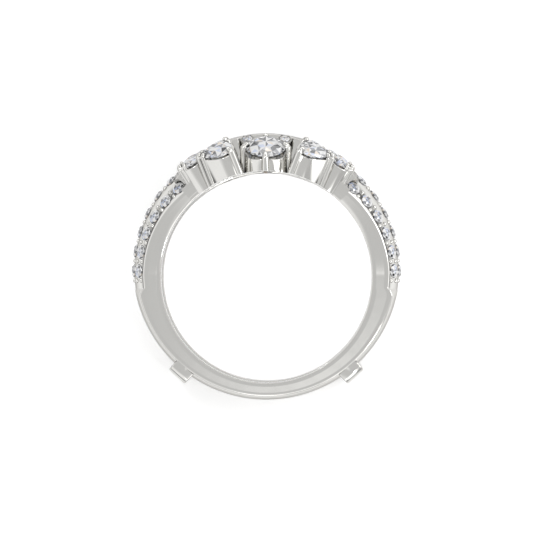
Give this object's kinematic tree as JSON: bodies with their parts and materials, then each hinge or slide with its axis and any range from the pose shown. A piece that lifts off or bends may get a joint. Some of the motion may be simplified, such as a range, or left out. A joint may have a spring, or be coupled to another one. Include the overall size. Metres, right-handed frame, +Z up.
{
  "type": "ring guard enhancer",
  "caption": "Double-band ring guard with parted head of round, pear and marquise stones in claw settings, pave shoulders and two bars at the back; a plain ring fits between the bands.",
  "frame": {"origin": "bottom centre of the ring's bounding box, on the surface that it lies on", "axes": "+Z up; the ring lies on its side, with the finger's axis leaning 10 degrees from +Z toward -Y; the head is toward +Y and the halves mirror about X = 0"},
  "size_m": [0.0222, 0.0226, 0.0132],
  "materials": {
    "white_gold": "polished",
    "diamond": "polished"
  },
  "bodies": {
    "root": {"guard_metal": "white_gold", "round_front": "diamond", "round_back": "diamond", "pear_front_right": "diamond", "pear_front_left": "diamond", "pear_back_right": "diamond", "pear_back_left": "diamond", "marquise_front_right": "diamond", "marquise_front_left": "diamond", "marquise_back_right": "diamond", "marquise_back_left": "diamond", "accent_front_right": "diamond", "accent_front_left": "diamond", "accent_back_right": "diamond", "accent_back_left": "diamond", "pave_front_right": "diamond", "pave_front_left": "diamond", "pave_back_right": "diamond", "pave_back_left": "diamond"}
  },
  "joints": []
}
